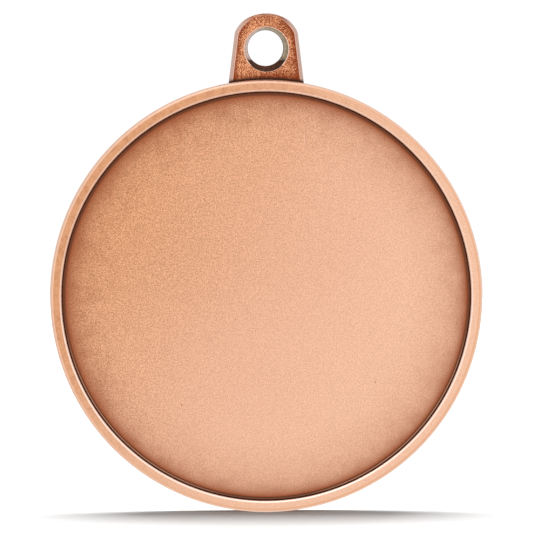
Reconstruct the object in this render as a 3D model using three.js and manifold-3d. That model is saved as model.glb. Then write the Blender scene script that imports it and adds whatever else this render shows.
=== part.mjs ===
// A blank sports finisher medal, upright, with its front towards -Y.
//
// A cast frame carries a raised rim and a loop for the ribbon. A textured blank disc lies in a
// pocket on each side, bonded to the frame's web by a thin adhesive film. Emblems and engraving
// go on the discs later.
//
// Millimetres, +Z up. The origin is the centre of the ribbon hole, halfway through the loop.

import * as THREE from 'three';
import { mergeVertices } from 'three/addons/utils/BufferGeometryUtils.js';
import Module from 'manifold-3d';

// Rim, pockets and web of the frame
const MEDAL_DIAMETER = 70;
const RIM_THICKNESS = 4;
const RIM_WIDTH = 1.85;
const RIM_OUTER_BEVEL = 0.5;
const RIM_INNER_BEVEL = 0.27;

// Insert discs and their adhesive
const RECESS_DEPTH = 0.7;
const DISC_THICKNESS = 0.5;
const DISC_CLEARANCE = 0.1;
const DISC_EDGE_BEVEL = 0.15;
const FILM_THICKNESS = 0.2;
const FILM_MARGIN = 1;

// Ribbon loop: a crown arc over the hole, soft shoulders, and sides that flare towards the rim
const HOLE_TO_DISC_CENTRE = 40;
const LOOP_THICKNESS = 2.4;
const LOOP_EDGE_INSET = 0.42;
const LOOP_EDGE_DEPTH = 0.55;
const CROWN_RADIUS = 5.6;
const CROWN_CENTRE_Z = 0.35;
const SHOULDER_RADIUS = 2.4;
const SIDE_FLARE = THREE.MathUtils.degToRad(7);
const SIDE_HALF_WIDTH = 5.4;
const LOOP_ROOT_Z = -6.2;

// Ribbon hole, tapering from both faces to a short land
const HOLE_FACE_RADIUS = 3.57;
const HOLE_THROAT_RADIUS = 2.88;
const HOLE_LAND = 0.3;
const CUT_OVERSHOOT = 1;

// Webs that fair the loop's sides into the rim
const FILLET_THICKNESS = 1.4;
const FILLET_TOP_Z = -4.6;
const FILLET_CORNER_Z = -5.4;
const FILLET_TOE_X = 8.3;
const FILLET_TOE_Z = -6.03;
const FILLET_ROOT_Z = -6.6;

// Facets
const RIM_SEGMENTS = 144;
const HOLE_SEGMENTS = 64;
const OUTLINE_SEGMENTS = 20;

// Sizes worked out from the ones above
const rimRadius = MEDAL_DIAMETER / 2;
const pocketRadius = rimRadius - RIM_WIDTH;
const rimFaceY = RIM_THICKNESS / 2;
const discFaceY = rimFaceY - RECESS_DEPTH;
const discBackY = discFaceY - DISC_THICKNESS;
const webFaceY = discBackY - FILM_THICKNESS;
const discRadius = pocketRadius - DISC_CLEARANCE;
const filmRadius = discRadius - FILM_MARGIN;

const wasm = await Module();
wasm.setup();

function finish(color, roughness, metalness) {
  return new THREE.MeshStandardMaterial({ color, roughness, metalness });
}

const castCopper = finish(0xe8b08c, 0.38, 1);
const sandblastedCopper = finish(0xe6b189, 0.55, 1);
const adhesiveFilm = finish(0xe9e4d6, 0.8, 0);

// Merges the shared corners of a geometry and drops the triangles that this closes up.
function weld(geometry) {
  const bare = geometry.index ? geometry.toNonIndexed() : geometry.clone();
  bare.deleteAttribute('normal');
  bare.deleteAttribute('uv');
  const merged = mergeVertices(bare, 1e-5);
  const corners = merged.index.array;
  const kept = [];
  for (let i = 0; i < corners.length; i += 3) {
    const [a, b, c] = [corners[i], corners[i + 1], corners[i + 2]];
    if (a !== b && b !== c && c !== a) kept.push(a, b, c);
  }
  merged.setIndex(kept);
  return merged;
}

function toSolid(geometry) {
  const welded = weld(geometry);
  return new wasm.Manifold(new wasm.Mesh({
    numProp: 3,
    vertProperties: new Float32Array(welded.attributes.position.array),
    triVerts: new Uint32Array(welded.index.array),
  }));
}

function toGeometry(solid) {
  const { vertProperties, triVerts } = solid.getMesh();
  const geometry = new THREE.BufferGeometry();
  geometry.setAttribute('position', new THREE.BufferAttribute(vertProperties, 3));
  geometry.setIndex(new THREE.BufferAttribute(triVerts, 1));
  return geometry;
}

// Turns a closed half-section, given as [radius, y] pairs of rising y, about the Y axis.
function turned(section, segments) {
  const points = section.map(([radius, y]) => new THREE.Vector2(radius, y));
  return new THREE.LatheGeometry(points, segments);
}

// Extrudes an outline drawn in X and Z to a plate centred on y = 0.
// Its faces are inset from the outline by edgeInset over the last edgeDepth of the thickness.
function plate(outline, thickness, edgeInset = 0, edgeDepth = 0) {
  const depth = thickness - 2 * edgeDepth;
  const geometry = new THREE.ExtrudeGeometry(outline, {
    depth,
    curveSegments: OUTLINE_SEGMENTS,
    bevelEnabled: edgeInset > 0,
    bevelSegments: 1,
    bevelSize: edgeInset,
    bevelOffset: -edgeInset,
    bevelThickness: edgeDepth,
  });
  return geometry.translate(0, 0, -depth / 2).rotateX(Math.PI / 2);
}

// Rim and web in one: the half-section of the round part of the casting.
function rimAndWeb() {
  const outerBevelY = rimFaceY - RIM_OUTER_BEVEL;
  const innerBevelY = rimFaceY - RIM_INNER_BEVEL;
  const half = [
    [rimRadius, outerBevelY],
    [rimRadius - RIM_OUTER_BEVEL, rimFaceY],
    [pocketRadius + RIM_INNER_BEVEL, rimFaceY],
    [pocketRadius, innerBevelY],
    [pocketRadius, webFaceY],
    [0, webFaceY],
  ];
  const mirrored = half.map(([radius, y]) => [radius, -y]).reverse();
  return turned([...mirrored, ...half], RIM_SEGMENTS).translate(0, 0, -HOLE_TO_DISC_CENTRE);
}

// Half-width of the loop's flared side at height z.
function sideX(z) {
  return SIDE_HALF_WIDTH - z * Math.tan(SIDE_FLARE);
}

// Outline of the loop. Each shoulder arc touches the crown arc and the flared side.
function loopOutline() {
  const sideNormal = new THREE.Vector2(Math.cos(SIDE_FLARE), Math.sin(SIDE_FLARE));
  const sideAlong = new THREE.Vector2(-sideNormal.y, sideNormal.x);
  const crownCentre = new THREE.Vector2(0, CROWN_CENTRE_Z);
  const sideDistance = (SIDE_HALF_WIDTH - CROWN_CENTRE_Z * Math.tan(SIDE_FLARE)) * sideNormal.x;
  const across = sideDistance - SHOULDER_RADIUS;
  const along = Math.sqrt((CROWN_RADIUS - SHOULDER_RADIUS) ** 2 - across ** 2);
  const shoulder = crownCentre.clone()
    .addScaledVector(sideNormal, across)
    .addScaledVector(sideAlong, along);
  const touch = Math.atan2(shoulder.y - CROWN_CENTRE_Z, shoulder.x);

  const outline = new THREE.Shape();
  outline.moveTo(-sideX(LOOP_ROOT_Z), LOOP_ROOT_Z);
  outline.lineTo(sideX(LOOP_ROOT_Z), LOOP_ROOT_Z);
  outline.absarc(shoulder.x, shoulder.y, SHOULDER_RADIUS, SIDE_FLARE, touch, false);
  outline.absarc(0, CROWN_CENTRE_Z, CROWN_RADIUS, touch, Math.PI - touch, false);
  outline.absarc(-shoulder.x, shoulder.y, SHOULDER_RADIUS, Math.PI - touch, Math.PI - SIDE_FLARE, false);
  outline.closePath();
  return outline;
}

// Outline of the thin web behind the loop's foot, concave where it runs out on the rim.
function filletOutline() {
  const topX = sideX(FILLET_TOP_Z);
  const cornerX = sideX(FILLET_CORNER_Z);
  const outline = new THREE.Shape();
  outline.moveTo(-FILLET_TOE_X, FILLET_ROOT_Z);
  outline.lineTo(FILLET_TOE_X, FILLET_ROOT_Z);
  outline.lineTo(FILLET_TOE_X, FILLET_TOE_Z);
  outline.quadraticCurveTo(cornerX, FILLET_CORNER_Z, topX, FILLET_TOP_Z);
  outline.lineTo(-topX, FILLET_TOP_Z);
  outline.quadraticCurveTo(-cornerX, FILLET_CORNER_Z, -FILLET_TOE_X, FILLET_TOE_Z);
  outline.closePath();
  return outline;
}

function ribbonHole() {
  const faceY = LOOP_THICKNESS / 2;
  const landY = HOLE_LAND / 2;
  const half = [
    [HOLE_THROAT_RADIUS, landY],
    [HOLE_FACE_RADIUS, faceY],
    [HOLE_FACE_RADIUS, faceY + CUT_OVERSHOOT],
    [0, faceY + CUT_OVERSHOOT],
  ];
  const mirrored = half.map(([radius, y]) => [radius, -y]).reverse();
  return turned([...mirrored, ...half], HOLE_SEGMENTS);
}

// The casting: rim, web and ribbon loop.
function medalFrame() {
  const loop = toSolid(plate(loopOutline(), LOOP_THICKNESS, LOOP_EDGE_INSET, LOOP_EDGE_DEPTH));
  const fillets = toSolid(plate(filletOutline(), FILLET_THICKNESS));
  const casting = toSolid(rimAndWeb()).add(loop).add(fillets);
  return toGeometry(casting.subtract(toSolid(ribbonHole())));
}

// A blank disc with its visible face towards +Y and a small bevel round that face.
function insertDisc() {
  const section = [
    [0, discBackY],
    [discRadius, discBackY],
    [discRadius, discFaceY - DISC_EDGE_BEVEL],
    [discRadius - DISC_EDGE_BEVEL, discFaceY],
    [0, discFaceY],
  ];
  return turned(section, RIM_SEGMENTS).translate(0, 0, -HOLE_TO_DISC_CENTRE);
}

// The film between the web and a disc, on the +Y side.
function adhesiveDisc() {
  const section = [
    [0, webFaceY],
    [filmRadius, webFaceY],
    [filmRadius, discBackY],
    [0, discBackY],
  ];
  return turned(section, RIM_SEGMENTS).translate(0, 0, -HOLE_TO_DISC_CENTRE);
}

// The same piece on the other side of the medal, turned half a turn about the Z axis.
function turnedToFront(geometry) {
  return geometry.rotateZ(Math.PI);
}

function node(name, geometry, material) {
  const mesh = new THREE.Mesh(weld(geometry), material);
  mesh.name = name;
  return mesh;
}

const medal = new THREE.Group();
medal.name = 'finisher_medal';
medal.add(
  node('medal_frame', medalFrame(), castCopper),
  node('front_disc', turnedToFront(insertDisc()), sandblastedCopper),
  node('front_adhesive_film', turnedToFront(adhesiveDisc()), adhesiveFilm),
  node('back_disc', insertDisc(), sandblastedCopper),
  node('back_adhesive_film', adhesiveDisc(), adhesiveFilm),
);

export default medal;
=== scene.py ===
"""A blank antique copper medal: a cast frame with a ribbon loop, and a textured disc in each side."""

import math

import bmesh
import bpy
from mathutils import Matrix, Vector


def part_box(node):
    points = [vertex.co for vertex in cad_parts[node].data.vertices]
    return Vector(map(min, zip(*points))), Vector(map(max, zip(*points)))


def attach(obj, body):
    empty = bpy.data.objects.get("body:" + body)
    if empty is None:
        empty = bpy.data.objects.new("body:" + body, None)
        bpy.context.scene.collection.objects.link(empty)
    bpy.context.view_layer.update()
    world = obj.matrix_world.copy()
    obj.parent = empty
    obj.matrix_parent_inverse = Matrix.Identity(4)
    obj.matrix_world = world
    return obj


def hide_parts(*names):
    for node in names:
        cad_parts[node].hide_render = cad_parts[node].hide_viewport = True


bl_info = {
    "name": "Blank Finisher Medal",
    "version": (1, 0, 0),
    "blender": (4, 5, 0),
    "location": "3D View > Sidebar > Medal",
    "description": "Builds a blank antique copper medal around its packed frame",
    "category": "Object",
}

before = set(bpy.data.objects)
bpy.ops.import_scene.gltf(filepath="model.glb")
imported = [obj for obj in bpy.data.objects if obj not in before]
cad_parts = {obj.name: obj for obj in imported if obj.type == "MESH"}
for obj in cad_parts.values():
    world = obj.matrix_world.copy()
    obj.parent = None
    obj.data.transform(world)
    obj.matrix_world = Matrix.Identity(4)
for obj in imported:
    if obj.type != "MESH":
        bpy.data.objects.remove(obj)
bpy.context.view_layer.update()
MM = 0.001

# Places and sizes that the frame fixes
frame_low, frame_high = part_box("medal_frame")
disc_low, disc_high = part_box("back_disc")
film_low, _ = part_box("back_adhesive_film")
MEDAL_AXIS = Vector((0, 0, (disc_low.z + disc_high.z) / 2))
RIM_RADIUS = frame_high.x
RIM_FACE_Y = frame_high.y
DISC_RADIUS = disc_high.x
DISC_FACE_Y = disc_high.y
DISC_BACK_Y = disc_low.y
WEB_FACE_Y = film_low.y
LOOP_TOP_Z = frame_high.z
FLOOR_Z = frame_low.z
FRONT, BACK = -1, 1

# How strongly the surfaces that aren't bare metal reflect: oxide, adhesive and the floor
DULL_SPECULAR = 0.15


# ---------------------------------------------------------------- settings

def length(name, description, millimetres):
    """A size that the sidebar shows in the scene's unit."""
    return bpy.props.FloatProperty(
        name=name, description=description, default=millimetres * MM,
        min=0.0, precision=5, subtype="DISTANCE", unit="LENGTH",
    )


def colour(name, description, rgb):
    """A linear colour."""
    return bpy.props.FloatVectorProperty(
        name=name, description=description, default=(*rgb, 1.0),
        size=4, min=0.0, max=1.0, subtype="COLOR",
    )


def amount(name, description, value, top=1.0):
    """A plain number from 0 to top."""
    return bpy.props.FloatProperty(name=name, description=description, default=value, min=0.0, max=top)


class MedalRimSizes(bpy.types.PropertyGroup):
    """Sizes of the rim and its pockets."""

    width: length("Rim width", "From the outer edge to the pocket wall", 1.85)
    outer_round: length("Outer rounding", "Width of the rim's outer rounded edges", 0.5)
    inner_round: length("Inner rounding", "Width of the rim's inner rounded edges", 0.27)
    parting_line: length("Parting line", "Height of the fine line the two die halves leave", 0.03)
    sides: bpy.props.IntProperty(
        name="Sides", description="Flat facets round the rim", default=360, min=32, max=720,
    )


class MedalLoopSizes(bpy.types.PropertyGroup):
    """Sizes of the ribbon loop, measured from the centre of its hole."""

    thickness: length("Thickness", "Front to back", 2.4)
    crown_radius: length("Crown radius", "Radius of the arc over the hole", 5.6)
    shoulder_radius: length("Shoulder radius", "Radius between the crown and the sides", 2.4)
    half_width: length("Half width", "Half the width at the hole's centre", 5.4)
    flare: bpy.props.FloatProperty(
        name="Flare", description="How far each side leans out towards the rim",
        default=math.radians(7), min=0.0, max=math.radians(30), subtype="ANGLE", unit="ROTATION",
    )
    edge_round: length("Edge rounding", "Width of the loop's rounded outer edges", 0.55)
    hole_face_radius: length("Hole radius at the face", "Where the taper begins", 3.57)
    hole_throat_radius: length("Hole radius at the throat", "The narrowest stretch", 2.88)
    hole_land: length("Hole land", "Length of the narrowest stretch", 0.3)
    hole_edge_round: length("Hole edge rounding", "Radius of the hole's two edges", 0.1)
    hole_drift: bpy.props.FloatVectorProperty(
        name="Throat drift", description="How far the cast throat sits to one side of the hole's faces",
        default=(-0.14 * MM, 0.0, 0.17 * MM), size=3, precision=5, subtype="TRANSLATION", unit="LENGTH",
    )
    web_thickness: length("Foot web thickness", "Of the webs that fair the loop into the rim", 1.4)
    web_reach: length("Foot web reach", "Half the width of the foot webs at the rim", 8.3)


class MedalDiscSizes(bpy.types.PropertyGroup):
    """Sizes of the insert discs' edges."""

    slope_width: length("Outer slope", "From the disc's edge in to the bead's crest", 0.2)
    bead_height: length("Bead height", "How far the bead stands above the disc's edge", 0.1)
    groove_width: length("Groove width", "From the bead's crest in to the groove's bottom", 0.18)
    groove_depth: length("Groove depth", "From the bead's crest down to the groove", 0.14)
    run_out: length("Groove run-out", "From the groove's bottom in to the flat field", 0.2)


class MedalFinishes(bpy.types.PropertyGroup):
    """Colours and grain of the plating and patina."""

    copper: colour("Copper", "Bright copper plating", (0.805, 0.49, 0.34))
    # Copper in painted shade: the dark end of the painted lighting gradient, also used for painted shade
    # at the field's edge and along the rim's outer bevel.
    painted_shade_copper: colour("Warm copper", "Plating toned by the antique bath", (0.66, 0.325, 0.17))
    red_patina: colour("Red patina", "Thin oxide", (0.34, 0.10, 0.042))
    # Also the colour of painted shade at the loop's foot and the bottom of the ribbon hole.
    dark_patina_and_shade: colour("Dark patina", "Thick oxide left in corners", (0.032, 0.010, 0.004))
    # Also the painted highlight on the rim's outer bevel and round the ribbon hole's edge.
    worn_edge_and_highlight: colour("Worn edge", "Where polishing thinned the plating", (0.95, 0.70, 0.58))
    # Also the painted highlight on the rim's inner edge, which grows towards the bottom.
    polished_edge_highlight: colour("Polished edge", "The rim's bright inner edge", (1.0, 0.80, 0.70))
    loop_copper: colour("Loop copper", "Plating on the rough loop", (0.90, 0.43, 0.22))
    loop_patina: colour("Loop patina", "Oxide in the rough loop's pits", (0.24, 0.045, 0.013))
    # Also the painted reflection on the left of the ribbon hole's wall.
    loop_edge_and_wall_reflection: colour("Loop edge", "The loop's worn rounded edge", (0.62, 0.44, 0.37))
    bare_metal: colour("Bare casting", "Zinc alloy in the hole's wall", (0.40, 0.33, 0.23))
    adhesive: colour("Adhesive", "The bonding film", (0.80, 0.76, 0.64))
    fibre: colour("Fibre", "Fibres in the bonding film", (0.60, 0.52, 0.38))
    grain_size: length("Grain size", "Spacing of the sandblasted grain", 0.19)
    grain_depth: length("Grain depth", "Relief of the sandblasted grain", 0.012)


class MedalStudio(bpy.types.PropertyGroup):
    """Camera and lights."""

    azimuth: bpy.props.FloatProperty(
        name="Azimuth", description="Camera angle to the right of square on",
        default=math.radians(-2), subtype="ANGLE", unit="ROTATION",
    )
    elevation: bpy.props.FloatProperty(
        name="Elevation", description="Camera angle above level",
        default=math.radians(3), subtype="ANGLE", unit="ROTATION",
    )
    distance: length("Distance", "Camera to medal", 900)
    view_width: length("View width", "Width of the picture at the medal", 86.4)
    aim_above_axis: length("Aim height", "Height of the picture's centre above the disc's", 4.79)
    aim_beside_axis: length("Aim side", "Picture's centre to the right of the disc's", 0.04)
    floor_radius: length("Floor radius", "Of the round floor", 600)
    floor_shade: amount("Floor shade", "How pale the floor is", 0.25)
    surround: amount("Surroundings", "Brightness of the surroundings", 1.02, 10.0)
    overhead: amount("Overhead softbox", "Brightness of the softbox over the medal", 34.0, 50.0)
    upper_front: amount("Upper front softbox", "Brightness of the softbox above the camera", 3.0, 50.0)
    front: amount("Front softbox", "Brightness of the softbox behind the camera", 0.3, 50.0)


# ---------------------------------------------------------------- modelling by hand

def deselect_all():
    if bpy.context.object and bpy.context.object.mode != "OBJECT":
        bpy.ops.object.mode_set(mode="OBJECT")
    bpy.ops.object.select_all(action="DESELECT")


def edit(piece):
    """Opens one piece in edit mode."""
    deselect_all()
    piece.select_set(True)
    bpy.context.view_layer.objects.active = piece
    bpy.ops.object.mode_set(mode="EDIT")
    bpy.ops.mesh.select_mode(type="VERT")


def pick(kind, test):
    """In edit mode, selects the verts, edges or faces that pass the test."""
    bpy.ops.mesh.select_mode(type={"verts": "VERT", "edges": "EDGE", "faces": "FACE"}[kind])
    bpy.ops.mesh.select_all(action="DESELECT")
    mesh = bmesh.from_edit_mesh(bpy.context.edit_object.data)
    found = 0
    for element in getattr(mesh, kind):
        if test(element):
            element.select_set(True)
            found += 1
    mesh.select_flush_mode()
    bmesh.update_edit_mesh(bpy.context.edit_object.data)
    if not found:
        raise RuntimeError(f"no {kind} were found to work on")


def radius_of(place):
    """Distance from the medal's axis."""
    return math.hypot(place.x - MEDAL_AXIS.x, place.z - MEDAL_AXIS.z)


def hole_radius_of(place):
    """Distance from the ribbon hole's axis, which runs through the origin."""
    return math.hypot(place.x, place.z)


def near(value, target, slack=0.01 * MM):
    return abs(value - target) < slack


def cylinder(name, radius, low_y, high_y, centre, sides):
    """A closed cylinder along Y, with its place in its mesh."""
    deselect_all()
    bpy.ops.mesh.primitive_cylinder_add(
        vertices=sides, radius=radius, depth=high_y - low_y, end_fill_type="NGON",
        location=(centre.x, (low_y + high_y) / 2, centre.z), rotation=(math.radians(90), 0, 0),
    )
    piece = bpy.context.object
    piece.name = piece.data.name = name
    bpy.ops.object.transform_apply(location=True, rotation=True, scale=True)
    return piece


def plate(name, outline, thickness):
    """Draws an outline in X and Z point by point, fills it and extrudes it about y = 0."""
    deselect_all()
    bpy.ops.mesh.primitive_plane_add(size=MM, location=(0, 0, 0))
    piece = bpy.context.object
    piece.name = piece.data.name = name
    edit(piece)
    bpy.ops.mesh.select_all(action="SELECT")
    bpy.ops.mesh.merge(type="CENTER")
    here = Vector((outline[0][0], -thickness / 2, outline[0][1]))
    bpy.ops.transform.translate(value=here)
    for x, z in outline[1:]:
        there = Vector((x, -thickness / 2, z))
        bpy.ops.mesh.extrude_vertices_move(TRANSFORM_OT_translate={"value": there - here})
        here = there
    bpy.ops.mesh.select_all(action="SELECT")
    bpy.ops.mesh.edge_face_add()
    bpy.ops.mesh.extrude_region_move(TRANSFORM_OT_translate={"value": (0, thickness, 0)})
    bpy.ops.mesh.select_all(action="SELECT")
    bpy.ops.mesh.normals_make_consistent(inside=False)
    bpy.ops.object.mode_set(mode="OBJECT")
    return piece


def round_edges(test, radius, segments, profile=0.5):
    """In edit mode, rounds the edges whose two ends both pass the test. A profile of 0.5 is an arc."""
    pick("edges", lambda edge: all(test(vert.co) for vert in edge.verts))
    bpy.ops.mesh.bevel(
        offset=radius, offset_type="OFFSET", segments=segments, profile=profile,
        affect="EDGES", clamp_overlap=True,
    )


def dome_edge(width, height, steps):
    """In edit mode, raises the selected flat face inwards in steps that make a rounded edge."""
    angles = [math.radians(90) * step / steps for step in range(steps + 1)]
    for low, high in zip(angles, angles[1:]):
        bpy.ops.mesh.inset(
            thickness=width * (math.cos(low) - math.cos(high)),
            depth=height * (math.sin(high) - math.sin(low)),
        )


def combine(piece, tool, operation):
    """Joins the tool to the piece or cuts it away, and removes the tool."""
    deselect_all()
    bpy.context.view_layer.objects.active = piece
    piece.select_set(True)
    bpy.ops.object.modifier_add(type="BOOLEAN")
    modifier = piece.modifiers[-1]
    modifier.operation = operation
    modifier.solver = "EXACT"
    modifier.object = tool
    bpy.ops.object.modifier_apply(modifier=modifier.name)
    bpy.data.objects.remove(tool)


def close_up(piece):
    """Merges doubled points and turns every face outwards."""
    edit(piece)
    bpy.ops.mesh.select_all(action="SELECT")
    bpy.ops.mesh.remove_doubles(threshold=0.002 * MM)
    bpy.ops.mesh.dissolve_degenerate(threshold=0.001 * MM)
    bpy.ops.mesh.normals_make_consistent(inside=False)
    bpy.ops.object.mode_set(mode="OBJECT")


def smooth(piece, angle=math.radians(40)):
    """Smooth shading that keeps broad faces flat up to their rounded edges."""
    deselect_all()
    bpy.context.view_layer.objects.active = piece
    piece.select_set(True)
    bpy.ops.object.shade_smooth_by_angle(angle=angle)
    bpy.ops.object.modifier_add(type="WEIGHTED_NORMAL")
    modifier = piece.modifiers[-1]
    modifier.keep_sharp = True
    modifier.weight = 100
    bpy.ops.object.modifier_apply(modifier=modifier.name)


def show(piece, node, materials):
    """Puts a finished piece in place of its node and gives it its materials."""
    for material in materials:
        piece.data.materials.append(material)
    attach(piece, "root")
    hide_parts(node)


# ---------------------------------------------------------------- material recipes

class Recipe:
    """One material's node tree, built line by line. Places are in millimetres from the disc's centre."""

    def __init__(self, name):
        self.material = bpy.data.materials.new(name)
        self.material.use_nodes = True
        self.nodes = self.material.node_tree.nodes
        self.links = self.material.node_tree.links
        self.shader = self.nodes["Principled BSDF"]
        self.shader.inputs["Specular IOR Level"].default_value = DULL_SPECULAR
        coordinates = self.nodes.new("ShaderNodeTexCoord")
        centred = self.nodes.new("ShaderNodeMapping")
        centred.vector_type = "TEXTURE"
        centred.inputs["Location"].default_value = MEDAL_AXIS
        centred.inputs["Scale"].default_value = (MM, MM, MM)
        self.links.new(coordinates.outputs["Object"], centred.inputs["Vector"])
        self.place = centred.outputs["Vector"]
        self.normal = coordinates.outputs["Normal"]

    def feed(self, socket, value):
        if isinstance(value, bpy.types.NodeSocket):
            self.links.new(value, socket)
        else:
            socket.default_value = value

    def maths(self, operation, a, b=0.0, c=0.0):
        node = self.nodes.new("ShaderNodeMath")
        node.operation = operation
        for socket, value in zip(node.inputs, (a, b, c)):
            self.feed(socket, value)
        return node.outputs[0]

    def product(self, first, *others):
        """All the values multiplied together."""
        for other in others:
            first = self.maths("MULTIPLY", first, other)
        return first

    def vector(self, operation, a, b=(0, 0, 0)):
        node = self.nodes.new("ShaderNodeVectorMath")
        node.operation = operation
        self.feed(node.inputs[0], a)
        self.feed(node.inputs[1], b)
        return node.outputs["Value" if operation in ("LENGTH", "DOT_PRODUCT") else "Vector"]

    def part(self, vector, letter):
        node = self.nodes.new("ShaderNodeSeparateXYZ")
        self.links.new(vector, node.inputs[0])
        return node.outputs[letter]

    def between(self, value, low, high, start=0.0, end=1.0):
        """Goes smoothly from start, where value is low, to end, where it is high."""
        node = self.nodes.new("ShaderNodeMapRange")
        node.interpolation_type = "SMOOTHSTEP"
        for name, number in zip(("Value", "From Min", "From Max", "To Min", "To Max"),
                                (value, low, high, start, end)):
            self.feed(node.inputs[name], number)
        return node.outputs["Result"]

    def band(self, value, rise_from, rise_to, fall_from, fall_to):
        """1 where value lies in a band, and smoothly down to 0 on both sides of it."""
        rising = self.between(value, rise_from, rise_to)
        falling = self.between(value, fall_to, fall_from)
        return self.product(rising, falling)

    def noise(self, size, detail=2.0, roughness=0.5, stretch=(1, 1, 1), shift=(0, 0, 0)):
        """Soft random values from 0 to 1 that vary over about size millimetres."""
        moved = self.nodes.new("ShaderNodeMapping")
        moved.inputs["Location"].default_value = shift
        moved.inputs["Scale"].default_value = stretch
        self.links.new(self.place, moved.inputs["Vector"])
        node = self.nodes.new("ShaderNodeTexNoise")
        self.links.new(moved.outputs["Vector"], node.inputs["Vector"])
        node.inputs["Scale"].default_value = 1 / size
        node.inputs["Detail"].default_value = detail
        node.inputs["Roughness"].default_value = roughness
        return node.outputs["Fac"]

    def specks(self, spacing, radius, share):
        """1 inside small round specks. Of the cells that hold one, this share shows it."""
        node = self.nodes.new("ShaderNodeTexVoronoi")
        self.links.new(self.place, node.inputs["Vector"])
        node.inputs["Scale"].default_value = 1 / spacing
        dot = self.between(node.outputs["Distance"], radius / spacing, 0.5 * radius / spacing)
        return self.product(dot, self.maths("LESS_THAN", self.part(node.outputs["Color"], "X"), share))

    def blend(self, factor, a, b, mode="MIX"):
        node = self.nodes.new("ShaderNodeMix")
        node.data_type = "RGBA"
        node.blend_type = mode
        self.feed(node.inputs[0], factor)
        self.feed(node.inputs[6], a)
        self.feed(node.inputs[7], b)
        return node.outputs[2]

    def relief(self, height, depth, under=None):
        """A bump of this depth in millimetres where height goes from 0 to 1."""
        node = self.nodes.new("ShaderNodeBump")
        node.inputs["Strength"].default_value = 1.0
        node.inputs["Distance"].default_value = depth * MM
        self.links.new(height, node.inputs["Height"])
        if under is not None:
            self.links.new(under, node.inputs["Normal"])
        return node.outputs["Normal"]

    def length_in_xz(self, vector):
        return self.vector("LENGTH", self.vector("MULTIPLY", vector, (1, 0, 1)))

    def radius(self):
        """Distance from the medal's axis, in millimetres."""
        return self.length_in_xz(self.place)

    def from_hole(self):
        """The place measured from the ribbon hole's centre instead, in millimetres."""
        return self.vector("SUBTRACT", self.place, (0, 0, -MEDAL_AXIS.z / MM))

    def finish(self, base, roughness, normal, metallic=1.0):
        for name, value in (("Base Color", base), ("Roughness", roughness),
                            ("Normal", normal), ("Metallic", metallic)):
            self.feed(self.shader.inputs[name], value)
        return self.material

    def oxide(self, cover, base, roughness, finishes):
        """Lays dull dark oxide over the metal, also used for painted shade at the loop's foot and the
        bottom of the ribbon hole. Returns its colour, roughness and metallic value.
        """
        base = self.blend(cover, base, finishes.dark_patina_and_shade)
        roughness = self.between(cover, 0.0, 1.0, roughness, 0.8)
        return base, roughness, self.between(cover, 0.2, 0.7, 1.0, 0.0)


def painted_light_across(recipe):
    """Painted light: from 0 at the upper left, in painted shade, to 1 at the lower right, under a broad
    painted highlight.
    """
    towards_lower_right = (0.8, 0, -0.45)
    drift_reach = 8.0
    slant = recipe.vector("DOT_PRODUCT", recipe.place, towards_lower_right)
    drift = recipe.maths("MULTIPLY_ADD", recipe.noise(30, 1.0), 2 * drift_reach, -drift_reach)
    return recipe.between(recipe.maths("ADD", slant, drift), -38, 22)


def disc_radii(sizes):
    """Radii of the bead's crest, of the groove's bottom and of the flat field."""
    crest = DISC_RADIUS - sizes.slope_width
    groove = crest - sizes.groove_width
    return crest, groove, groove - sizes.run_out


def grained_copper(recipe, finishes, grain, painted_light, radius):
    """The field's plating with its dark and pale grains, painted from shade at the upper left to a
    highlight at the lower right. The dark grains deepen towards the edge.
    """
    base = recipe.blend(painted_light, finishes.painted_shade_copper, finishes.copper)
    darkest = recipe.between(painted_light, 0.0, 1.0, 0.66, 0.86)
    darkest = recipe.maths("SUBTRACT", darkest, recipe.between(radius, 22, 32, 0.0, 0.14))
    palest = recipe.between(painted_light, 0.0, 1.0, 1.33, 1.12)
    return recipe.blend(1.0, base, recipe.between(grain, 0.2, 0.8, darkest, palest), "MULTIPLY")


def painted_light_at_field_edge(recipe, finishes, base, painted_light, radius):
    """Painted light towards the field's edge: warms its pale, highlighted side and lifts its shaded side
    a little.
    """
    warmed = recipe.between(radius, 22, 32, 0.0, recipe.between(painted_light, 0.3, 1.0, 0.0, 0.3))
    base = recipe.blend(warmed, base, finishes.painted_shade_copper)
    lifted = recipe.between(radius, 19, 31, 1.0, recipe.between(painted_light, 0.0, 1.0, 1.05, 1.0))
    return recipe.blend(1.0, base, lifted, "MULTIPLY")


def creeping_patina(recipe, finishes, base, painted_light, radius, field):
    """Clouds of patina on the outer field, and a veil of it that thins out inwards from the edge. Both
    grow towards the painted shade at the upper left.
    """
    mottle = recipe.noise(2.4, 3.0, 0.6)
    cloud = recipe.product(recipe.between(mottle, 0.45, 0.72, 0.0, 0.1),
                           recipe.between(radius, 18, 31), recipe.between(painted_light, 0.6, 0.1))
    base = recipe.blend(cloud, base, finishes.red_patina)
    inset = recipe.maths("MAXIMUM", recipe.maths("SUBTRACT", field, radius), 0.0)
    uneven_inset = recipe.product(inset, recipe.between(mottle, 0.25, 0.75, 1.35, 0.7))
    veil_reach = recipe.between(painted_light, 0.0, 1.0, 2.0, 1.35)
    thinning = recipe.maths("DIVIDE", uneven_inset, veil_reach)
    veil = recipe.maths("EXPONENT", recipe.product(thinning, -1.0))
    return recipe.blend(veil, base, finishes.red_patina)


def scratch(recipe, x, z, half_length, half_width=0.07):
    """1 along a fine upright scratch centred at x and z."""
    aside = recipe.maths("ABSOLUTE", recipe.maths("SUBTRACT", recipe.part(recipe.place, "X"), x))
    along = recipe.maths("ABSOLUTE", recipe.maths("SUBTRACT", recipe.part(recipe.place, "Z"), z))
    return recipe.product(recipe.between(aside, half_width, half_width / 2),
                          recipe.between(along, half_length, half_length / 2))


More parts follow.
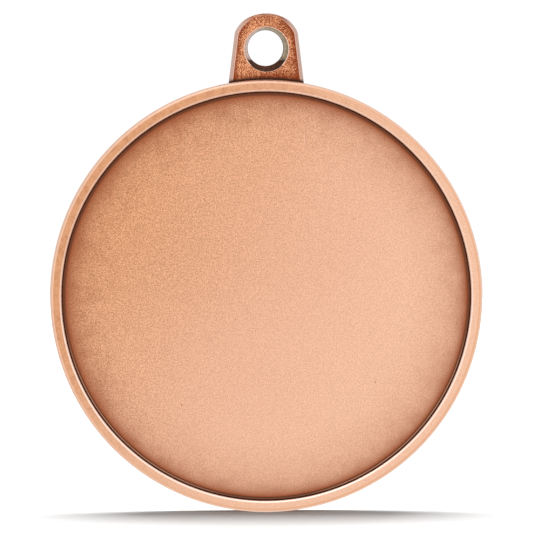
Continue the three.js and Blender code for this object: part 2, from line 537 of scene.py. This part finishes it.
def age_marks(recipe, finishes, base):
    """Small dark specks all over, and one fine bright scratch in the upper field."""
    speck = recipe.specks(spacing=3.5, radius=0.2, share=0.3)
    base = recipe.blend(recipe.product(speck, 0.6), base, finishes.red_patina)
    bright = scratch(recipe, x=6.1, z=25.6, half_length=1.0)
    return recipe.blend(recipe.product(bright, 0.5), base, finishes.worn_edge_and_highlight)


def sandblasted_field(finishes, sizes):
    """The disc's matte grain, with red patina creeping in from its edge and a painted highlight on the
    lower half of the bead.
    """
    recipe = Recipe("sandblasted_copper")
    crest, groove, field = (radius / MM for radius in disc_radii(sizes))
    radius = recipe.radius()
    # Painted lighting gradient: shade at the upper left, a broad highlight at the lower right.
    painted_light = painted_light_across(recipe)
    grain = recipe.noise(finishes.grain_size / MM, 1.0, 0.5)
    base = grained_copper(recipe, finishes, grain, painted_light, radius)
    base = painted_light_at_field_edge(recipe, finishes, base, painted_light, radius)
    base = creeping_patina(recipe, finishes, base, painted_light, radius, field)
    base = age_marks(recipe, finishes, base)

    lower = recipe.between(recipe.part(recipe.place, "Z"), -3, -16)
    aside = recipe.maths("ABSOLUTE", recipe.part(recipe.place, "X"))
    bead = recipe.band(radius, groove + 0.07, crest - 0.03, crest + 0.04, crest + 0.13)
    # Painted highlight: the bead is paler and free of oxide on its lower half, most towards the sides.
    painted_bead_highlight = recipe.product(bead, lower, recipe.between(aside, 6, 14, 0.2, 1.0), 0.38)
    in_groove = recipe.product(recipe.between(radius, field, groove),
                               recipe.between(lower, 0, 1, 0.62, 0.72))
    cover = recipe.maths("MAXIMUM", recipe.maths("SUBTRACT", in_groove, painted_bead_highlight), 0.0)
    roughness = recipe.between(grain, 0.2, 0.8, 0.62, 0.5)
    base, roughness, metallic = recipe.oxide(cover, base, roughness, finishes)
    base = recipe.blend(painted_bead_highlight, base, finishes.copper)
    return recipe.finish(base, roughness, recipe.relief(grain, finishes.grain_depth / MM), metallic)


def rim_plating(recipe, finishes, sizes, fine):
    """The rim's smooth plating, painted from shade at the upper left to a highlight at the lower right,
    with a bright inner edge of polish under a painted highlight that grows towards the bottom, and an
    outer bevel paled by wear and by a painted highlight.
    """
    radius = recipe.radius()
    inner_edge = (RIM_RADIUS - sizes.width + sizes.inner_round) / MM
    outer_edge = (RIM_RADIUS - sizes.outer_round) / MM
    # Painted lighting gradient: shade at the upper left, a broad highlight at the lower right.
    painted_light = painted_light_across(recipe)
    base = recipe.blend(recipe.maths("MULTIPLY_ADD", painted_light, 1.1, -0.12),
                        finishes.painted_shade_copper, finishes.copper)
    base = recipe.blend(1.0, base, recipe.between(fine, 0.25, 0.75, 0.8, 1.08), "MULTIPLY")
    # Patina stains, heaviest towards the painted shade at the upper left.
    stain = recipe.product(recipe.between(recipe.noise(1.1, 4.0, 0.75), 0.42, 0.7),
                           recipe.between(painted_light, 0.1, 1.0, 0.3, 0.05))
    base = recipe.blend(stain, base, finishes.loop_patina)
    # Polish on the inner edge, with a painted highlight that grows towards the bottom.
    polish_and_highlight = recipe.product(recipe.between(radius, inner_edge + 0.15, inner_edge - 0.05),
                              recipe.between(recipe.part(recipe.place, "Z"), 12, -14, 0.45, 1.0))
    base = recipe.blend(polish_and_highlight, base, finishes.polished_edge_highlight)
    # Paler worn plating on the outer bevel, partly a painted highlight.
    bevel = recipe.between(radius, outer_edge - 0.05, outer_edge + 0.15)
    base = recipe.blend(recipe.product(bevel, 0.5), base, finishes.worn_edge_and_highlight)
    # Painted shade: a darker, warmer line where the flat turns into the outer bevel, growing towards the
    # lower right.
    shoulder = recipe.band(radius, outer_edge - 0.12, outer_edge + 0.02,
                           outer_edge + 0.14, outer_edge + 0.32)
    return recipe.blend(recipe.product(shoulder, painted_light, 0.8), base, finishes.painted_shade_copper)


def inside_loop_edge(recipe, sizes):
    """How far a place on the loop's face is inside its outline, in millimetres."""
    place = recipe.from_hole()
    up = recipe.part(place, "Z")
    side = recipe.maths("MULTIPLY_ADD", up, -math.tan(sizes.flare), sizes.half_width / MM)
    to_side = recipe.maths("SUBTRACT", side, recipe.maths("ABSOLUTE", recipe.part(place, "X")))
    crown_z = (LOOP_TOP_Z - sizes.crown_radius) / MM
    from_crown = recipe.length_in_xz(recipe.vector("SUBTRACT", place, (0, 0, crown_z)))
    to_crown = recipe.maths("SUBTRACT", sizes.crown_radius / MM, from_crown)
    out_of_reach = recipe.product(recipe.maths("LESS_THAN", up, crown_z), 100.0)
    return recipe.maths("MINIMUM", to_side, recipe.maths("ADD", to_crown, out_of_reach))


def loop_plating(recipe, finishes, sizes, pits):
    """The loop's rough plating: dark in its pits, dark near its foot with patina and painted shade, with
    pale worn edges and a painted highlight round the hole's edge.
    """
    place = recipe.from_hole()
    across = recipe.part(place, "X")
    aside = recipe.maths("ABSOLUTE", across)
    inside = inside_loop_edge(recipe, sizes)
    patch = recipe.noise(2.6, 2.0, 0.6, shift=(2, 8, 1))
    cleaned = recipe.maths("MULTIPLY_ADD", patch, 0.8, recipe.product(across, -0.012))
    cleaned = recipe.maths("ADD", cleaned, recipe.between(pits, 0.27, 0.73, -0.55, 0.37))
    # Patina and painted shade darken the loop towards its foot.
    foot_patina_and_shade = recipe.between(recipe.part(place, "Z"), -3.2, -5.0, -0.04, 0.42)
    cleaned = recipe.maths("SUBTRACT", cleaned, foot_patina_and_shade)
    gathered = recipe.between(inside, 1.5, 0.6, 0.0, recipe.between(aside, 1.5, 4.0, 0.12, 0.45))
    cleaned = recipe.maths("SUBTRACT", cleaned, gathered)
    base = recipe.blend(recipe.between(cleaned, -0.1, 0.9), finishes.loop_patina, finishes.loop_copper)

    facing = recipe.maths("ABSOLUTE", recipe.part(recipe.normal, "Y"))
    rounded = recipe.product(recipe.between(facing, 0.985, 0.93),
                             recipe.between(aside, 2.0, 4.4, 0.1, 0.9))
    base = recipe.blend(rounded, base, finishes.loop_edge_and_wall_reflection)
    ridge = recipe.product(recipe.band(inside, 0.36, 0.46, 0.54, 0.64),
                           recipe.between(aside, 2.0, 4.4, 0.1, 0.6))
    base = recipe.blend(ridge, base, finishes.worn_edge_and_highlight)
    face_radius = sizes.hole_face_radius / MM
    # Painted highlight: a pale ring at the hole's rounded edges.
    painted_hole_edge_highlight = recipe.between(recipe.length_in_xz(place), face_radius + 0.14, face_radius + 0.06)
    return recipe.blend(recipe.product(painted_hole_edge_highlight, 0.8), base, finishes.worn_edge_and_highlight)


def pocket_oxide(recipe, sizes):
    """1 low on the pocket's wall, where no polishing reaches."""
    wall = (RIM_RADIUS - sizes.width) / MM
    face = RIM_FACE_Y / MM
    height = recipe.maths("ABSOLUTE", recipe.part(recipe.place, "Y"))
    return recipe.product(recipe.between(height, face - 0.3, face - 0.5),
                          recipe.between(recipe.radius(), wall + 0.12, wall + 0.04))


def cast_copper(finishes, rim_sizes, loop_sizes):
    """The frame's plating: smooth on the rim, rough and mottled on the loop, dark with patina in the
    corners, and dark with patina and painted shade at the loop's foot.
    """
    recipe = Recipe("antique_copper")
    radius = recipe.radius()
    outside = RIM_RADIUS / MM
    fine = recipe.noise(0.18, 2.0, 0.6)
    pits = recipe.noise(0.16, 1.0, 0.6, shift=(7, 3, 5))
    on_loop = recipe.between(radius, outside + 0.02, outside + 0.06)
    rim = rim_plating(recipe, finishes, rim_sizes, fine)
    base = recipe.blend(on_loop, rim, loop_plating(recipe, finishes, loop_sizes, pits))
    # Patina and painted shade where the loop meets the rim.
    foot = recipe.product(on_loop, recipe.between(radius, outside + 0.8, outside + 0.2))
    cover = recipe.maths("MAXIMUM", pocket_oxide(recipe, rim_sizes), foot)
    roughness = recipe.between(on_loop, 0, 1, 0.36, 0.5)
    base, roughness, metallic = recipe.oxide(cover, base, roughness, finishes)
    smooth_relief = recipe.relief(fine, 0.004)
    normal = recipe.relief(recipe.product(pits, on_loop), 0.04, smooth_relief)
    return recipe.finish(base, roughness, normal, metallic)


def hole_wall(finishes):
    """Bare casting, paler on its left with a painted reflection, and with painted shade lying at the
    bottom of the ribbon hole.
    """
    recipe = Recipe("ribbon_hole_wall")
    place = recipe.from_hole()
    streak = recipe.noise(0.4, 3.0, 0.6, stretch=(1, 0.3, 1))
    # Painted reflection: the wall's left side is paler than its right.
    base = recipe.blend(recipe.between(recipe.part(place, "X"), -2.6, 0.0),
                        finishes.loop_edge_and_wall_reflection, finishes.bare_metal)
    base = recipe.blend(1.0, base, recipe.between(streak, 0.25, 0.75, 0.8, 1.1), "MULTIPLY")
    # Painted shade at the bottom of the hole.
    painted_shade_at_bottom = recipe.product(recipe.between(recipe.part(place, "Z"), -1.3, -1.9),
                               recipe.between(streak, 0.1, 0.5, 0.85, 1.0))
    on_land = recipe.between(recipe.maths("ABSOLUTE", recipe.part(place, "Y")), 0.4, 0.15, 0.0, 0.8)
    cover = recipe.maths("MAXIMUM", painted_shade_at_bottom, on_land)
    base, roughness, metallic = recipe.oxide(cover, base, 0.35, finishes)
    return recipe.finish(base, roughness, recipe.relief(streak, 0.01), metallic)


def adhesive_film(finishes):
    """Pale film with fine fibres."""
    recipe = Recipe("bonding_film")
    fibre = recipe.noise(0.8, 4.0, 0.7, stretch=(1, 1, 6))
    base = recipe.blend(recipe.between(fibre, 0.3, 0.7, 0.0, 0.25),
                        finishes.adhesive, finishes.fibre)
    roughness = recipe.between(fibre, 0.3, 0.7, 0.7, 0.9)
    return recipe.finish(base, roughness, recipe.relief(fibre, 0.02), metallic=0.0)


# ---------------------------------------------------------------- the frame's casting

def arc(centre_x, centre_z, radius, start, end, steps):
    """Points of an arc in X and Z, from start to end in radians."""
    angles = (start + (end - start) * step / steps for step in range(steps + 1))
    return [(centre_x + radius * math.cos(a), centre_z + radius * math.sin(a)) for a in angles]


def side_x(sizes, z):
    """Half the loop's width at height z."""
    return sizes.half_width - z * math.tan(sizes.flare)


def loop_outline(sizes, root_z):
    """The loop from its root in the rim, round its right side and crown to its left side."""
    crown_z = LOOP_TOP_Z - sizes.crown_radius
    normal = Vector((math.cos(sizes.flare), math.sin(sizes.flare)))
    along = Vector((-normal.y, normal.x))
    reach = (sizes.half_width - crown_z * math.tan(sizes.flare)) * normal.x - sizes.shoulder_radius
    rise = math.sqrt((sizes.crown_radius - sizes.shoulder_radius) ** 2 - reach ** 2)
    shoulder = Vector((0, crown_z)) + normal * reach + along * rise
    touch = math.atan2(shoulder.y - crown_z, shoulder.x)
    half = [(side_x(sizes, root_z), root_z)]
    half += arc(shoulder.x, shoulder.y, sizes.shoulder_radius, sizes.flare, touch, 14)
    half += arc(0, crown_z, sizes.crown_radius, touch, math.pi / 2, 30)[1:]
    return half + [(-x, z) for x, z in reversed(half[:-1])]


def foot_outline(sizes):
    """The thin web behind the loop's foot, which curves out to meet the rim."""
    top_z, corner_z, root_z = -4.6 * MM, -5.4 * MM, -6.6 * MM
    toe = Vector((sizes.web_reach, -6.03 * MM))
    top = Vector((side_x(sizes, top_z), top_z))
    corner = Vector((side_x(sizes, corner_z), corner_z))
    steps = 10
    half = [(toe.x, root_z)]
    for step in range(steps + 1):
        t = step / steps
        point = toe * (1 - t) ** 2 + corner * (2 * t * (1 - t)) + top * t ** 2
        half.append((point.x, point.y))
    return half + [(-x, z) for x, z in reversed(half)]


def rim_and_web(sizes):
    """A cylinder with a pocket sunk in each end and its edges rounded."""
    piece = cylinder("cast_frame", RIM_RADIUS, -RIM_FACE_Y, RIM_FACE_Y, MEDAL_AXIS, sizes.sides)
    edit(piece)
    pocket_radius = RIM_RADIUS - sizes.width
    for side in (FRONT, BACK):
        pick("faces", lambda face: face.normal.y * side > 0.9)
        bpy.ops.mesh.inset(thickness=sizes.width, depth=0)
        sink = (0, -side * (RIM_FACE_Y - WEB_FACE_Y), 0)
        bpy.ops.mesh.extrude_region_move(TRANSFORM_OT_translate={"value": sink})
    fuller_than_an_arc = 0.32
    for radius, rounding, segments in (
        (RIM_RADIUS, sizes.outer_round, 5),
        (pocket_radius, sizes.inner_round, 4),
    ):
        round_edges(
            lambda co: near(abs(co.y), RIM_FACE_Y) and near(radius_of(co), radius, 0.05 * MM),
            rounding, segments, profile=fuller_than_an_arc,
        )
    bpy.ops.object.mode_set(mode="OBJECT")
    return piece


def ribbon_hole_tool(sizes):
    """The tapered hole as a solid: a land in the middle that widens to both faces."""
    overshoot = 1 * MM
    face_y, land_y = sizes.thickness / 2, sizes.hole_land / 2
    drift = Vector(sizes.hole_drift)
    piece = cylinder("hole_tool", sizes.hole_throat_radius, -land_y, land_y, drift, 96)
    edit(piece)
    widening = sizes.hole_face_radius / sizes.hole_throat_radius
    for side in (FRONT, BACK):
        pick("faces", lambda face: face.normal.y * side > 0.9)
        out = Vector((0, side * (face_y - land_y), 0)) - drift
        bpy.ops.mesh.extrude_region_move(TRANSFORM_OT_translate={"value": out})
        bpy.ops.transform.resize(value=(widening, 1, widening), center_override=(0, side * face_y, 0))
        bpy.ops.mesh.extrude_region_move(
            TRANSFORM_OT_translate={"value": (0, side * overshoot, 0)})
    bpy.ops.object.mode_set(mode="OBJECT")
    return piece


def ribbon_loop(sizes):
    """The loop with domed outer edges, a slightly flattened crown and its tapered hole."""
    root_z = -6.6 * MM
    flattened_from, flattening = 4.6 * MM, 0.85
    face_y = sizes.thickness / 2
    piece = plate("ribbon_loop", loop_outline(sizes, root_z), sizes.thickness - 2 * sizes.edge_round)
    edit(piece)
    for side in (FRONT, BACK):
        pick("faces", lambda face: face.normal.y * side > 0.9)
        dome_edge(sizes.edge_round * 0.9, sizes.edge_round, 5)
    pick("verts", lambda vert: vert.co.z > flattened_from and abs(vert.co.y) < face_y - 0.01 * MM)
    bpy.ops.transform.resize(value=(1, 1, flattening), center_override=(0, 0, flattened_from))
    bpy.ops.object.mode_set(mode="OBJECT")
    combine(piece, ribbon_hole_tool(sizes), "DIFFERENCE")
    edit(piece)
    hole_radius = sizes.hole_face_radius
    round_edges(
        lambda co: near(abs(co.y), face_y) and near(hole_radius_of(co), hole_radius, 0.03 * MM),
        sizes.hole_edge_round, 3,
    )
    bpy.ops.object.mode_set(mode="OBJECT")
    return piece


def raise_parting_line(sizes):
    """In edit mode, cuts a fine ring round the outside at the middle and lifts it a little."""
    line_half_width, clear_of_hole = 0.06 * MM, 4 * MM
    for y in (-line_half_width, 0, line_half_width):
        bpy.ops.mesh.select_all(action="SELECT")
        bpy.ops.mesh.bisect(plane_co=(0, y, 0), plane_no=(0, 1, 0), threshold=0.001 * MM)
    pick("verts", lambda vert: near(vert.co.y, 0, 0.001 * MM) and hole_radius_of(vert.co) > clear_of_hole)
    bpy.ops.transform.shrink_fatten(value=sizes.parting_line)


def line_hole(piece, sizes):
    """Gives the faces of the hole's wall the piece's second material."""
    wall_radius = sizes.hole_face_radius + 0.02 * MM
    verts = piece.data.vertices
    for face in piece.data.polygons:
        if all(hole_radius_of(verts[index].co) < wall_radius for index in face.vertices):
            face.material_index = 1


class MEDAL_OT_cast_frame(bpy.types.Operator):
    """Model the casting: rim, web and ribbon loop"""

    bl_idname = "medal.cast_frame"
    bl_label = "Cast Frame"

    def execute(self, context):
        rim, loop = context.scene.medal_rim, context.scene.medal_loop
        finishes = context.scene.medal_finishes
        piece = rim_and_web(rim)
        combine(piece, ribbon_loop(loop), "UNION")
        combine(piece, plate("foot_webs", foot_outline(loop), loop.web_thickness), "UNION")
        edit(piece)
        raise_parting_line(rim)
        close_up(piece)
        smooth(piece)
        materials = [cast_copper(finishes, rim, loop), hole_wall(finishes)]
        show(piece, "medal_frame", materials)
        line_hole(piece, loop)
        return {"FINISHED"}


# ---------------------------------------------------------------- the insert discs

def insert_disc(name, side, sizes, sides):
    """A disc with a fine bead and a groove round its flat field."""
    low_y, high_y = sorted((side * DISC_BACK_Y, side * DISC_FACE_Y))
    piece = cylinder(name, DISC_RADIUS, low_y, high_y, MEDAL_AXIS, sides)
    edit(piece)
    pick("faces", lambda face: face.normal.y * side > 0.9)
    bpy.ops.mesh.inset(thickness=sizes.slope_width, depth=sizes.bead_height)
    bpy.ops.mesh.inset(thickness=sizes.groove_width, depth=-sizes.groove_depth)
    bpy.ops.mesh.inset(thickness=sizes.run_out, depth=sizes.groove_depth - sizes.bead_height)
    crest_radius, groove_radius, _ = disc_radii(sizes)
    bpy.ops.mesh.inset(thickness=groove_radius / 2, depth=0)
    bpy.ops.mesh.poke()
    crease_round = 0.06 * MM
    for radius, segments in ((crest_radius, 3), (groove_radius, 2)):
        round_edges(lambda co: near(radius_of(co), radius, 0.02 * MM), crease_round, segments)
    bpy.ops.object.mode_set(mode="OBJECT")
    close_up(piece)
    smooth(piece)
    return piece


class MEDAL_OT_insert_discs(bpy.types.Operator):
    """Model the textured blank disc of each side"""

    bl_idname = "medal.insert_discs"
    bl_label = "Insert Discs"

    def execute(self, context):
        sizes, sides = context.scene.medal_discs, context.scene.medal_rim.sides
        material = sandblasted_field(context.scene.medal_finishes, sizes)
        for name, node, side in (
            ("front_insert_disc", "front_disc", FRONT),
            ("back_insert_disc", "back_disc", BACK),
        ):
            piece = insert_disc(name, side, sizes, sides)
            show(piece, node, [material])
        return {"FINISHED"}


class MEDAL_OT_adhesive_films(bpy.types.Operator):
    """Give the two bonding films their finish"""

    bl_idname = "medal.adhesive_films"
    bl_label = "Adhesive Films"

    def execute(self, context):
        material = adhesive_film(context.scene.medal_finishes)
        for name in ("front_adhesive_film", "back_adhesive_film"):
            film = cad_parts[name]
            film.data.materials.clear()
            film.data.materials.append(material)
        return {"FINISHED"}


# ---------------------------------------------------------------- the studio

def softbox(name, place, size, brightness):
    """A rectangular softbox that faces the medal."""
    deselect_all()
    bpy.ops.object.light_add(type="AREA", location=place)
    light = bpy.context.object
    light.name = light.data.name = name
    light.data.shape = "RECTANGLE"
    light.data.size, light.data.size_y = size
    light.data.energy = brightness * math.pi * size[0] * size[1]
    light.rotation_euler = (MEDAL_AXIS - light.location).to_track_quat("-Z", "Y").to_euler()
    return light


def white_surroundings(studio):
    """Even white light from all round."""
    world = bpy.data.worlds.new("white_surroundings")
    world.use_nodes = True
    background = world.node_tree.nodes["Background"]
    background.inputs["Color"].default_value = (1, 1, 1, 1)
    background.inputs["Strength"].default_value = studio.surround
    bpy.context.scene.world = world


def studio_floor(studio):
    """A round pale floor under the medal's lowest point."""
    deselect_all()
    bpy.ops.mesh.primitive_circle_add(
        vertices=128, radius=studio.floor_radius, fill_type="NGON", location=(0, 0, FLOOR_Z))
    floor = bpy.context.object
    floor.name = "studio_floor"
    recipe = Recipe("white_floor")
    shade = (studio.floor_shade, studio.floor_shade, studio.floor_shade, 1)
    roughness = 0.8
    paper = recipe.finish(shade, roughness, recipe.relief(recipe.noise(4, 2.0), 0.02), metallic=0.0)
    floor.data.materials.append(paper)
    # The medal doesn't mirror the floor, so its lower bevel stays bright.
    floor.visible_glossy = False


def studio_camera(studio):
    """A long lens, nearly square to the medal's front."""
    aim = MEDAL_AXIS + Vector((studio.aim_beside_axis, 0, studio.aim_above_axis))
    place = aim + studio.distance * Vector((
        math.cos(studio.elevation) * math.sin(studio.azimuth),
        -math.cos(studio.elevation) * math.cos(studio.azimuth),
        math.sin(studio.elevation),
    ))
    deselect_all()
    bpy.ops.object.camera_add(location=place)
    camera = bpy.context.object
    camera.rotation_euler = (aim - place).to_track_quat("-Z", "Y").to_euler()
    camera.data.lens = camera.data.sensor_width * studio.distance / studio.view_width
    camera.data.clip_start = 0.01
    camera.data.clip_end = 20
    bpy.context.scene.camera = camera


class MEDAL_OT_stage(bpy.types.Operator):
    """Set up the floor, the soft lights and the camera"""

    bl_idname = "medal.stage"
    bl_label = "Stage"

    def execute(self, context):
        studio = context.scene.medal_studio
        context.scene.view_settings.view_transform = "Standard"
        studio_floor(studio)
        white_surroundings(studio)
        overhead = softbox("overhead_softbox", (0, 0.45, 1.6), (2.0, 0.8), studio.overhead)
        # The medal doesn't mirror it, so no white line runs along the upper bevel.
        overhead.visible_glossy = False
        softbox("upper_front_softbox", (-0.2, -0.6, 0.9), (0.8, 0.3), studio.upper_front)
        softbox("front_softbox", (0.2, -1.4, 0.1), (1.4, 1.0), studio.front)
        studio_camera(studio)
        return {"FINISHED"}


# ---------------------------------------------------------------- sidebar and registration

class MEDAL_PT_sidebar(bpy.types.Panel):
    """The medal's pieces and settings"""

    bl_idname = "MEDAL_PT_sidebar"
    bl_label = "Medal"
    bl_space_type = "VIEW_3D"
    bl_region_type = "UI"
    bl_category = "Medal"

    def draw(self, context):
        layout = self.layout
        for operator in OPERATORS:
            layout.operator(operator.bl_idname)
        for name, group in SETTINGS.items():
            box = layout.box()
            box.label(text=group.__doc__)
            for field in group.__annotations__:
                box.prop(getattr(context.scene, name), field)


SETTINGS = {
    "medal_rim": MedalRimSizes,
    "medal_loop": MedalLoopSizes,
    "medal_discs": MedalDiscSizes,
    "medal_finishes": MedalFinishes,
    "medal_studio": MedalStudio,
}
OPERATORS = (MEDAL_OT_cast_frame, MEDAL_OT_insert_discs, MEDAL_OT_adhesive_films, MEDAL_OT_stage)


def register():
    for cls in (*SETTINGS.values(), *OPERATORS, MEDAL_PT_sidebar):
        bpy.utils.register_class(cls)
    for name, group in SETTINGS.items():
        setattr(bpy.types.Scene, name, bpy.props.PointerProperty(type=group))


def unregister():
    for name in SETTINGS:
        delattr(bpy.types.Scene, name)
    for cls in reversed((*SETTINGS.values(), *OPERATORS, MEDAL_PT_sidebar)):
        bpy.utils.unregister_class(cls)


def main():
    register()
    bpy.ops.medal.cast_frame()
    bpy.ops.medal.insert_discs()
    bpy.ops.medal.adhesive_films()
    bpy.ops.medal.stage()


if __name__ == "__main__":
    main()
